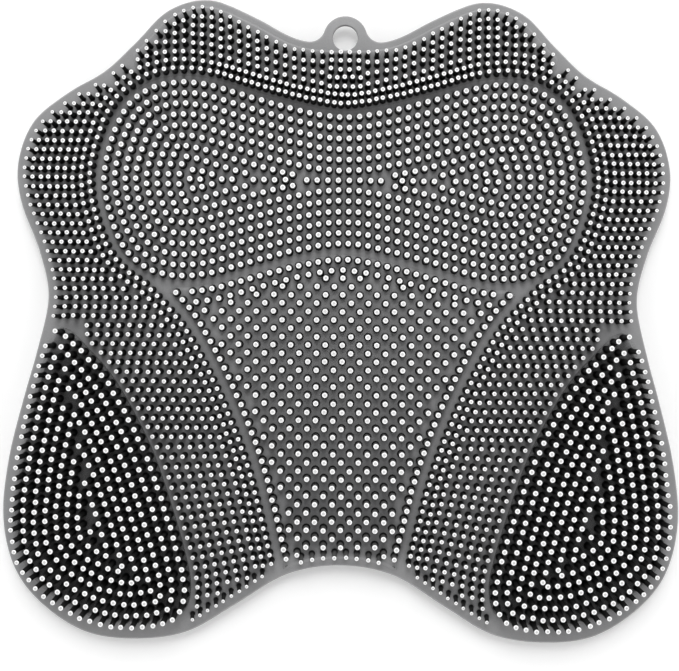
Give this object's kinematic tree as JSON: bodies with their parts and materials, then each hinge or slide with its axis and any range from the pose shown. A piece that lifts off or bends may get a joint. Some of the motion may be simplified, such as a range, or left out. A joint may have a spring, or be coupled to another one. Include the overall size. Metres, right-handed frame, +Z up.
{
  "type": "shower foot scrubber",
  "caption": "Butterfly-shaped silicone foot scrubbing mat with rows of upright bristles, a hanging eye at the top and suction cups below.",
  "frame": {"origin": "middle of the footprint, on the surface that the suction cups rest on", "axes": "+Z up out of the bristles, +Y towards the hanging eye"},
  "size_m": [0.3042, 0.288, 0.0192],
  "materials": {
    "silicone": "satin"
  },
  "bodies": {
    "root": {"mat": "silicone"}
  },
  "joints": []
}
